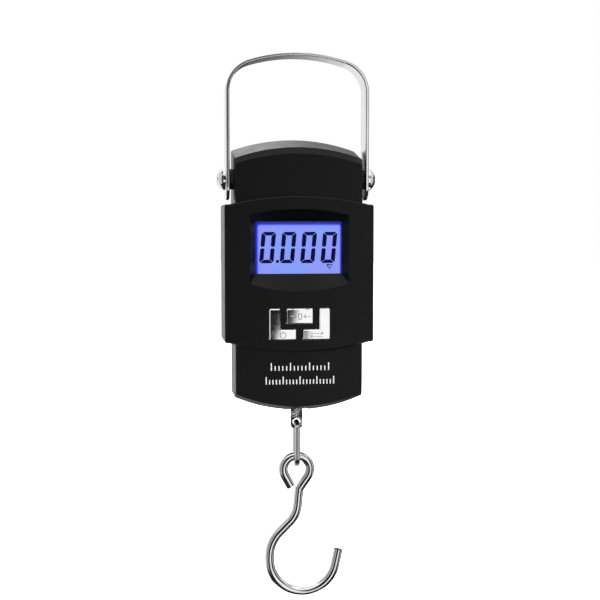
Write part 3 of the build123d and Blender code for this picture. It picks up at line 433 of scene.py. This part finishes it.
RED, BLACK, WHITE = (0.55, 0.02, 0.015), (0.012, 0.012, 0.012), (0.75, 0.75, 0.72)
gauge_low, gauge_high = span("gauge_wires")
gauge_middle = (gauge_low.z + gauge_high.z) / 2
dress(
    insulation("gauge_insulation", lambda g: g.math("SUBTRACT", g.along("Z"), gauge_middle), RED, WHITE),
    "gauge_wires",
)
dress(insulation("lead_insulation", lambda g: g.along("X"), RED, BLACK), "battery_wires")


# Shares of a cell's length, from its flat end to its raised one
SLEEVE_START, RING_START, SHOULDER_START, SLEEVE_END = 0.012, 0.66, 0.675, 0.965
BARE_STEEL = (0.62, 0.62, 0.60)


def cell_sleeve(node, upright):
    """Printed battery sleeve: dark body, copper shoulder, white ring, bare steel ends."""
    low, high = span(node)
    length = high.z - low.z
    g = Graph(node + "_sleeve", IOR=1.5)
    if upright:
        share = g.math("DIVIDE", g.math("SUBTRACT", g.along("Z"), low.z), length)
    else:
        share = g.math("DIVIDE", g.math("SUBTRACT", high.z, g.along("Z")), length)
    bands = g.add("ShaderNodeValToRGB")
    bands.color_ramp.interpolation = "CONSTANT"
    stops = (
        (0.0, BARE_STEEL),
        (SLEEVE_START, (0.010, 0.022, 0.070)),
        (RING_START, (0.80, 0.80, 0.78)),
        (SHOULDER_START, (0.60, 0.27, 0.10)),
        (SLEEVE_END, BARE_STEEL),
    )
    while len(bands.color_ramp.elements) < len(stops):
        bands.color_ramp.elements.new(0.5)
    for element, (place, colour) in zip(bands.color_ramp.elements, stops):
        element.position = place
        element.color = (*colour, 1.0)
    g.link(share, bands.inputs["Fac"])
    past_sleeve = g.math("GREATER_THAN", share, SLEEVE_END)
    bare = g.math("MAXIMUM", past_sleeve, g.math("LESS_THAN", share, SLEEVE_START))
    foil = g.noise(1400.0, 3.0, 0.6, stretch=ALONG_Z)
    g.feed(
        Base_Color=g.mix(g.math("MULTIPLY", foil, 0.25), bands.outputs["Color"], (0.3, 0.3, 0.3)),
        Metallic=g.math("MAXIMUM", bare, 0.35),
        Roughness=g.ramp(g.noise(200.0, 5.0), (0.3, 0.16), (0.7, 0.32)),
    )
    g.bump((g.noise(260.0, 2.0), 0.03 * MM, 0.15), (foil, 0.004 * MM, 0.3))
    return g.mat


dress(cell_sleeve("battery_left", True), "battery_left")
dress(cell_sleeve("battery_right", False), "battery_right")

# ---------------------------------------------------------------- display

# Clear lens: it darkens and mirrors a little
g = Graph("lens_clear", IOR=1.49, Alpha=0.06, Specular_IOR_Level=0.12)
g.feed(
    Base_Color=g.ramp(g.noise(300.0), (0.3, (0.0, 0.0, 0.012)), (0.7, (0.004, 0.004, 0.02))),
    Roughness=g.ramp(g.noise(500.0, 4.0), (0.4, 0.01), (0.8, 0.05)),
)
g.bump((g.noise(120.0, 1.0), 0.01 * MM, 0.05))
dress(g.mat, "lcd_lens")

# Lit glass: blue light that is deeper at the top, left and right edges of the window
# LENS_BORDER is how far the lens reaches behind the bezel. Each fade says how far inside
# the window's edge the light starts and where it is full.
LENS_BORDER = 1.5 * MM
LEFT_FADE = (-0.1 * MM, 2.3 * MM)
RIGHT_FADE = (-0.2 * MM, 1.2 * MM)
TOP_FADE = (0.2 * MM, 2.6 * MM)
lens_low, lens_high = span("lcd_lens")
window_left = lens_low.x + LENS_BORDER
window_right = lens_high.x - LENS_BORDER
window_top = lens_high.z - LENS_BORDER
g = Graph("lcd_glow", IOR=1.5, Specular_IOR_Level=0.1)
from_left = g.step(g.along("X"), window_left + LEFT_FADE[0], window_left + LEFT_FADE[1])
from_right = g.step(g.along("X"), window_right - RIGHT_FADE[0], window_right - RIGHT_FADE[1])
from_top = g.step(g.along("Z"), window_top - TOP_FADE[0], window_top - TOP_FADE[1])
lit = g.math("MULTIPLY", g.math("MULTIPLY", from_left, from_right), from_top)
cloud = g.noise(90.0, 3.0, 0.6)
full = g.ramp(cloud, (0.35, (0.30, 0.32, 0.92)), (0.65, (0.22, 0.35, 0.92)))
edge = g.ramp(lit, (0.0, (0.0, 0.0, 0.10)), (0.30, (0.004, 0.006, 0.55)), (0.6, (0.05, 0.08, 0.9)))
g.feed(
    Base_Color=g.ramp(cloud, (0.3, (0.02, 0.025, 0.10)), (0.7, (0.03, 0.035, 0.12))),
    Emission_Color=g.mix(g.step(lit, 0.35, 1.0), edge, full),
    Roughness=g.ramp(g.noise(300.0), (0.3, 0.15), (0.7, 0.25)),
)
g.bsdf.inputs["Emission Strength"].default_value = 1.0
g.bump((g.noise(3000.0, 2.0), 0.002 * MM, 0.2))
dress(g.mat, "lcd_panel")

# Figures: dark liquid crystal that lets a trace of blue through
g = Graph("segment_ink", IOR=1.4, Specular_IOR_Level=0.1)
ink_tone = g.noise(700.0, 3.0)
g.feed(
    Base_Color=g.ramp(ink_tone, (0.3, (0.0, 0.0, 0.010)), (0.7, (0.001, 0.001, 0.016))),
    Emission_Color=g.ramp(ink_tone, (0.3, (0.0, 0.0, 0.030)), (0.7, (0.001, 0.001, 0.055))),
    Roughness=g.ramp(ink_tone, (0.3, 0.4), (0.7, 0.55)),
)
g.bsdf.inputs["Emission Strength"].default_value = 1.0
ink = g.mat
dress(ink, "lcd_segments")

# ---------------------------------------------------------------- printed and embossed


def place_piece(name, mesh, body, material):
    """Adds a mesh as a piece that rides on a body."""
    piece = bpy.data.objects.new(name, mesh)
    scene.collection.objects.link(piece)
    mesh.materials.clear()
    mesh.materials.append(material)
    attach(piece, body)


ARC_STEPS = 20


def arc(radius_x, radius_z, start, end):
    """Points on part of an ellipse around the middle, angles in degrees."""
    turns = [math.radians(start + (end - start) * i / ARC_STEPS) for i in range(ARC_STEPS + 1)]
    return [(radius_x * math.cos(t), radius_z * math.sin(t)) for t in turns]


def ribs(name, lines, radius, lift):
    """Mesh of round strokes along the lines; lift gives the Y of a stroke's middle at x, z."""
    curve = bpy.data.curves.new(name, "CURVE")
    curve.dimensions = "3D"
    curve.bevel_depth = radius
    curve.bevel_resolution = 3
    curve.use_fill_caps = True
    for line in lines:
        spline = curve.splines.new("POLY")
        spline.points.add(len(line) - 1)
        for point, (x, z) in zip(spline.points, line):
            point.co = (x, lift(x, z), z, 1.0)
    made = bpy.data.objects.new(name, curve)
    scene.collection.objects.link(made)
    bpy.context.view_layer.update()
    mesh = bpy.data.meshes.new_from_object(made)
    bpy.data.objects.remove(made)
    mesh.polygons.foreach_set("use_smooth", [True] * len(mesh.polygons))
    return mesh


def printed(name, lines, radius, y, depth, material):
    """Flat strokes on the case that face the front, their middle at y."""
    mesh = ribs(name, lines, radius, lambda x, z: y)
    for vert in mesh.vertices:
        vert.co.y = y + (vert.co.y - y) * depth / radius
    place_piece(name, mesh, "case", material)


# White pad print, a little worn and uneven
g = Graph("pad_print", IOR=1.45)
worn = g.noise(1500.0, 5.0, 0.7)
g.feed(
    Base_Color=g.ramp(worn, (0.28, 0.30), (0.5, 0.55)),
    Roughness=g.ramp(worn, (0.3, 0.45), (0.7, 0.6)),
)
g.bump((worn, 0.005 * MM, 0.4))
pad_print = g.mat

# Two rows of ticks on the lower plate, which lies PANEL_STEP behind the raised panel.
# TICK_STROKE is half a tick's width and PRINT_MIDDLE the rows' middle in X.
PANEL_STEP = 1.5 * MM
FACE_PRINT_DEPTH = 0.02 * MM
TICK_STROKE = 0.24 * MM
LONG_TICK, SHORT_TICK = 3.3 * MM, 2.0 * MM
LONG_EVERY = 5
PRINT_MIDDLE = 0.3 * MM
plate_y = span("front_cover")[0].y + PANEL_STEP
for name, foot, width, count in (
    ("print_ticks_upper", -82.0 * MM, 25.3 * MM, 16),
    ("print_ticks_lower", -87.9 * MM, 29.7 * MM, 21),
):
    low_z = pivot.z + foot
    pitch = (width - 2 * TICK_STROKE) / (count - 1)
    ticks = []
    for number in range(count):
        x = PRINT_MIDDLE + (number - (count - 1) / 2) * pitch
        reach = LONG_TICK if number % LONG_EVERY == 0 else SHORT_TICK
        ticks.append([(x, low_z), (x, low_z + reach)])
    printed(name, ticks, TICK_STROKE, plate_y, FACE_PRINT_DEPTH, pad_print)

# Small cursor under the last figure
CURSOR_HALF, CURSOR_HEIGHT = 1.2 * MM, 1.7 * MM
CURSOR_STROKE = 0.26 * MM
segments_low, segments_high = span("lcd_segments")
cursor_x, cursor_z = 13.6 * MM, pivot.z - 38.4 * MM
cursor = [
    (cursor_x - CURSOR_HALF, cursor_z + CURSOR_HEIGHT),
    (cursor_x + CURSOR_HALF, cursor_z + CURSOR_HEIGHT),
    (cursor_x, cursor_z),
    (cursor_x - CURSOR_HALF, cursor_z + CURSOR_HEIGHT),
]
printed(
    "display_cursor",
    [cursor],
    CURSOR_STROKE,
    (segments_high.y + segments_low.y) / 2,
    (segments_high.y - segments_low.y) / 2,
    ink,
)

# ---- embossed symbols on the buttons

# Radius of the buttons' crowned faces, radius of a rib, and how deep its middle lies below
# the face as a share of that radius
CROWN = 110.0 * MM
RIB = 0.21 * MM
RIB_SINK = 0.35


def arrow(tail_x, tip_x, z, head):
    """A level arrow: its shaft and its head."""
    back = tip_x - math.copysign(head, tip_x - tail_x)
    return [[(tail_x, z), (tip_x, z)], [(back, z + head), (tip_x, z), (back, z - head)]]


def embossed(name, lines, node, middle_x, middle_z):
    """Raised round ribs on a crowned button; the lines are in mm around the middle."""
    low, high = span(node)
    crown_x, crown_z = (low.x + high.x) / 2, (low.z + high.z) / 2

    def lift(x, z):
        drop = CROWN - math.sqrt(CROWN**2 - (x - crown_x) ** 2 - (z - crown_z) ** 2)
        return low.y + drop + RIB * RIB_SINK

    lines = [[(middle_x + a * MM, middle_z + b * MM) for a, b in line] for line in lines]
    place_piece(name, ribs(name, lines, RIB, lift), node, button_chrome)


# The middle height of the feet of the two L-shaped buttons
foot_z = pivot.z - 66.45 * MM
power_low, power_high = span("button_power")
unit_low, unit_high = span("button_unit")
tare_low, tare_high = span("button_tare")
power_sign = [arc(1.25, 1.25, 118.0, 422.0), [(0.0, 0.3), (0.0, 1.6)]]
tare_sign = [arc(0.75, 1.35, 0.0, 360.0)]
tare_sign += arrow(-4.4, -1.7, 0.0, 0.75) + arrow(4.4, 1.7, 0.0, 0.75)
unit_sign = arrow(-2.6, 2.6, 0.65, 0.6) + arrow(2.6, -2.6, -0.65, 0.6)
embossed("power_symbol", power_sign, "button_power", (power_low.x + power_high.x) / 2, foot_z)
embossed("tare_symbol", tare_sign, "button_tare", 0.0, (tare_low.z + tare_high.z) / 2)
embossed("unit_symbol", unit_sign, "button_unit", (unit_low.x + unit_high.x) / 2, foot_z)

# ---------------------------------------------------------------- camera

CAMERA_YAW, CAMERA_DIP = 7.50, 3.76
CAMERA_FROM_PIVOT = Vector((-66.8, -519.5, -17.9)) * MM
SENSOR_WIDTH, FOCAL_LENGTH = 36.0, 72.2
yaw, pitch = math.radians(CAMERA_YAW), math.radians(CAMERA_DIP)
forward = Vector((math.sin(yaw) * math.cos(pitch), math.cos(yaw) * math.cos(pitch), -math.sin(pitch)))
camera_data = bpy.data.cameras.new("camera")
camera_data.sensor_width = SENSOR_WIDTH
camera_data.lens = FOCAL_LENGTH
camera_data.clip_start = 0.01
camera = bpy.data.objects.new("camera", camera_data)
camera.location = pivot + CAMERA_FROM_PIVOT
camera.rotation_euler = forward.to_track_quat("-Z", "Y").to_euler()
scene.collection.objects.link(camera)
scene.camera = camera

# ---------------------------------------------------------------- studio


class Sky(Nodes):
    """The studio that the surfaces mirror: soft panels by direction in a dark room.

    front_turn and back_turn are bearings from the front and from the back, positive
    towards X, and lift is the height above the level.
    """

    def __init__(self, room_glow):
        world = bpy.data.worlds.new("studio")
        scene.world = world
        super().__init__(world)
        coords = self.add("ShaderNodeTexCoord")
        split = self.add("ShaderNodeSeparateXYZ")
        self.link(coords.outputs["Generated"], split.inputs["Vector"])
        toward_front = self.math("MULTIPLY", split.outputs["Y"], -1.0)
        self.front_turn = self.math("ARCTAN2", split.outputs["X"], toward_front)
        self.back_turn = self.math("ARCTAN2", split.outputs["X"], split.outputs["Y"])
        self.lift = self.math("ARCSINE", split.outputs["Z"])
        self.total = room_glow

    def window(self, value, low, high, soft):
        """1 between low and high, with edges that soften over a width of soft."""
        rise = self.step(value, low - soft / 2, low + soft / 2)
        fall = self.step(value, high + soft / 2, high - soft / 2)
        return self.math("MULTIPLY", rise, fall)

    def panel(self, turn, turns, lifts, light, soft, tilt=0.0):
        """Adds a panel between two bearings and two heights, in degrees; tilt leans its sides."""
        turns = [math.radians(v) for v in turns]
        lifts = [math.radians(v) for v in lifts]
        soft = math.radians(soft)
        if tilt:
            turn = self.math("ADD", turn, self.math("MULTIPLY", self.lift, tilt))
        sides = self.window(turn, *turns, soft)
        ends = self.window(self.lift, *lifts, soft)
        shown = self.math("MULTIPLY", self.math("MULTIPLY", sides, ends), light)
        self.total = self.math("ADD", self.total, shown)

    def finish(self):
        """Gives the panels to every ray but the camera's own, which sees plain white."""
        out = self.add("ShaderNodeOutputWorld")
        lit = self.add("ShaderNodeBackground")
        seen = self.add("ShaderNodeBackground")
        choose = self.add("ShaderNodeMixShader")
        path = self.add("ShaderNodeLightPath")
        self.link(self.total, lit.inputs["Strength"])
        self.link(path.outputs["Is Camera Ray"], choose.inputs["Fac"])
        self.link(lit.outputs["Background"], choose.inputs[1])
        self.link(seen.outputs["Background"], choose.inputs[2])
        self.link(choose.outputs["Shader"], out.inputs["Surface"])
        for shader in (lit, seen):
            shader.inputs["Color"].default_value = (1.0, 1.0, 1.0, 1.0)


ROOM_GLOW = 0.012
sky = Sky(ROOM_GLOW)
sky.panel(sky.front_turn, (6.5, 38.0), (-32.0, 22.0), 1.0, 5.0, tilt=-0.25)
sky.panel(sky.back_turn, (-68.0, 6.0), (-40.0, 60.0), 0.9, 10.0)
sky.panel(sky.back_turn, (-180.0, 180.0), (56.0, 100.0), 1.2, 14.0)
sky.panel(sky.back_turn, (-10.0, 80.0), (16.0, 56.0), 0.75, 12.0)
sky.panel(sky.front_turn, (-58.0, -38.0), (-30.0, 50.0), 0.55, 10.0)
sky.panel(sky.front_turn, (-108.0, -76.0), (-30.0, 40.0), 0.7, 10.0)
sky.panel(sky.front_turn, (72.0, 104.0), (-30.0, 45.0), 0.6, 12.0)
sky.panel(sky.back_turn, (-75.0, 75.0), (-100.0, -54.0), 2.2, 12.0)
sky.panel(sky.front_turn, (-75.0, 75.0), (34.0, 60.0), 0.8, 12.0)
sky.finish()

FLOOR_HALF = 6.0
FLOOR_DROP = 60.0 * MM
floor_mesh = bpy.data.meshes.new("floor")
floor_z = cad_box[0][2] - FLOOR_DROP
floor_mesh.from_pydata(
    [
        (-FLOOR_HALF, -FLOOR_HALF, floor_z),
        (FLOOR_HALF, -FLOOR_HALF, floor_z),
        (FLOOR_HALF, FLOOR_HALF, floor_z),
        (-FLOOR_HALF, FLOOR_HALF, floor_z),
    ],
    [],
    [(0, 1, 2, 3)],
)
floor = bpy.data.objects.new("floor", floor_mesh)
scene.collection.objects.link(floor)
floor_look = Graph(
    "floor_pale", Roughness=0.9, Emission_Color=(1.0, 1.0, 1.0, 1.0), Emission_Strength=0.75
)
floor_look.feed(Base_Color=floor_look.ramp(floor_look.noise(2.0), (0.3, 0.86), (0.7, 0.88)))
floor_mesh.materials.append(floor_look.mat)
floor.visible_glossy = False


# The lamps point close to the middle of the case, this far below the pivots
AIM_DROP = 40.0 * MM
aim = Vector((0.0, 0.0, pivot.z - AIM_DROP))


def softbox(name, place, size, power):
    """Rectangular area light towards the case, unseen in mirrors, which see the sky's panels."""
    data = bpy.data.lights.new(name, "AREA")
    data.shape = "RECTANGLE"
    data.size, data.size_y = size
    data.energy = power
    lamp = bpy.data.objects.new(name, data)
    lamp.location = place
    lamp.rotation_euler = (aim - Vector(place)).to_track_quat("-Z", "Y").to_euler()
    lamp.visible_glossy = False
    scene.collection.objects.link(lamp)


softbox("key_left", (-0.7, -0.9, 0.35), (0.6, 1.0), 9.0)
softbox("fill_right", (0.9, -0.6, 0.1), (0.5, 0.9), 4.5)
softbox("top", (0.0, 0.15, 0.9), (1.0, 0.8), 8.0)
softbox("behind", (0.3, 1.0, 0.2), (0.8, 0.8), 9.0)

scene.view_settings.view_transform = "Standard"
scene.view_settings.look = "None"
scene.view_settings.exposure = 0.0
